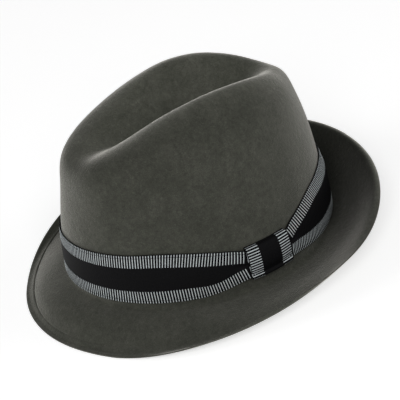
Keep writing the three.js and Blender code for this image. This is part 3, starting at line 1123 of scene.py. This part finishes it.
def felt_material():
    n = Nodes("wool_felt")
    at = n.add("ShaderNodeTexCoord").outputs["Object"]
    base = n.ramp(n.noise(at, CLOUD_SIZE, 3, 0.55), FELT_CLOUDS)
    relief = None
    for layer in FELT_LAYERS:
        noise = n.noise(at, layer["size"] * MM, layer["detail"], layer["rough"], layer["twist"])
        base = n.multiply(base, n.ramp(noise, [(place, grey(tone)) for place, tone in layer["tones"]]))
        if layer["depth"]:
            relief = n.bump(noise, layer["depth"] * MM, layer["strength"], relief)
    # painted light and painted shade: the tone darkens or lightens the colour, and lowers or raises the
    # sheen with it
    tone = n.add("ShaderNodeAttribute", attribute_name="painted_tone").outputs["Fac"]
    sheen = n.add("ShaderNodeMath", operation="MULTIPLY", use_clamp=True)
    sheen.inputs[1].default_value = NAP_SHEEN
    n.link(tone, sheen.inputs[0])
    n.link(sheen.outputs["Value"], n.shader.inputs["Sheen Weight"])
    n.link(n.multiply(base, tone), n.shader.inputs["Base Color"])
    n.link(relief, n.shader.inputs["Normal"])
    return n.material_with(FELT_SHADER)


def ribbon_material(name, colour):
    """Ribbed ribbon: fine weft ribs run across it, with a little unevenness from thread to thread."""
    n = Nodes(name)
    cloth = n.add("ShaderNodeUVMap", uv_map="cloth").outputs["UV"]
    weave = n.add("ShaderNodeTexWave", wave_type="BANDS", bands_direction="Y", wave_profile="SIN")
    weave.inputs["Scale"].default_value = 1 / WEFT_SIZE
    weave.inputs["Distortion"].default_value = 0.6
    n.link(cloth, weave.inputs["Vector"])
    threads = n.noise(cloth, THREAD_SIZE, 2, 0.5)
    shade = n.ramp(threads, [
        (0.3, tuple(0.78 * c for c in colour)),
        (0.7, tuple(1.15 * c for c in colour)),
    ])
    n.link(shade, n.shader.inputs["Base Color"])
    fine = n.bump(threads, WEAVE_DEPTH, 0.5)
    n.link(n.bump(weave.outputs["Fac"], WEAVE_DEPTH, 0.6, fine), n.shader.inputs["Normal"])
    return n.material_with(RIBBON_SHADER)


def floor_material():
    n = Nodes("pale_floor")
    at = n.add("ShaderNodeTexCoord").outputs["Object"]
    tone = n.ramp(n.noise(at, 0.4, 2), [(0.3, grey(0.86)), (0.7, grey(0.88))])
    n.link(tone, n.shader.inputs["Base Color"])
    return n.material_with(FLOOR_SHADER)


# Studio

def floor():
    signs = np.array([[-1, -1, 0], [1, -1, 0], [1, 1, 0], [-1, 1, 0]])
    piece = make_piece("studio_floor", FLOOR_HALF * signs, [[0, 1, 2, 3]], [floor_material()])


def direction(azimuth, elevation):
    """Unit vector away from the hat. Azimuth 0 is in front of it, a quarter turn on its bow side."""
    return np.array([
        math.sin(azimuth) * math.cos(elevation),
        -math.cos(azimuth) * math.cos(elevation),
        math.sin(elevation),
    ])


def softbox(name, azimuth, elevation, power):
    """A soft light at the studio's distance, turned to the hat."""
    place = LIGHT_DISTANCE * Vector(direction(math.radians(azimuth), math.radians(elevation)))
    light = bpy.data.lights.new(name, "AREA")
    light.shape = "RECTANGLE"
    light.size, light.size_y = LIGHT_SIZE
    light.energy = power
    lamp = bpy.data.objects.new(name, light)
    lamp.location = place
    lamp.rotation_mode = "QUATERNION"
    lamp.rotation_quaternion = (-place).to_track_quat("-Z", "Y")
    lamp.visible_camera = False
    bpy.context.scene.collection.objects.link(lamp)


def studio():
    scene = bpy.context.scene
    world = bpy.data.worlds.new("studio")
    world.use_nodes = True
    background = world.node_tree.nodes["Background"]
    background.inputs["Color"].default_value = (1, 1, 1, 1)
    background.inputs["Strength"].default_value = SKY_STRENGTH
    scene.world = world
    for box in SOFTBOXES:
        softbox(**box)
    scene.view_settings.view_transform = "Standard"
    floor()


def camera():
    """The photo's camera, placed in the hat's own frame and then stood up with the hat."""
    back = direction(AZIMUTH, ELEVATION)
    right = np.array([math.cos(AZIMUTH), math.sin(AZIMUTH), 0])
    up = np.cross(back, right)
    rolled_right = math.cos(ROLL) * right + math.sin(ROLL) * up
    rolled_up = math.cos(ROLL) * up - math.sin(ROLL) * right
    middle = np.array([0, 0, AIM_HEIGHT])
    place = middle + CAMERA_DISTANCE * back
    aim = middle + AIM_RIGHT * rolled_right + AIM_UP * rolled_up
    backwards = unit(place - aim)
    sideways = unit(np.cross(rolled_up, backwards))
    upwards = np.cross(backwards, sideways)
    axes = turn_x(np.stack([sideways, upwards, backwards]), PITCH)
    data = bpy.data.cameras.new("photo_view")
    data.lens = LENS
    data.sensor_width = SENSOR
    data.clip_start = 0.05
    view = bpy.data.objects.new("photo_view", data)
    matrix = Matrix.Identity(4)
    for k in range(3):
        matrix.col[k] = (*axes[k], 0)
    matrix.col[3] = (*stand(place), 1)
    view.matrix_world = matrix
    bpy.context.scene.collection.objects.link(view)
    bpy.context.scene.camera = view


def dress():
    black = ribbon_material("ribbon_black", RIBBON_BLACK)
    white = ribbon_material("ribbon_white", RIBBON_WHITE)
    body = felt_body(felt_material())
    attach(body, "root")
    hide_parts("felt_hat")
    band = striped_band([black, white])
    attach(band, "root")
    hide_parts("ribbon_band")
    wrap, wrap_length = striped_wrap([black, white])
    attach(wrap, "root")
    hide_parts("bow_wrap")


camera()
studio()
dress()
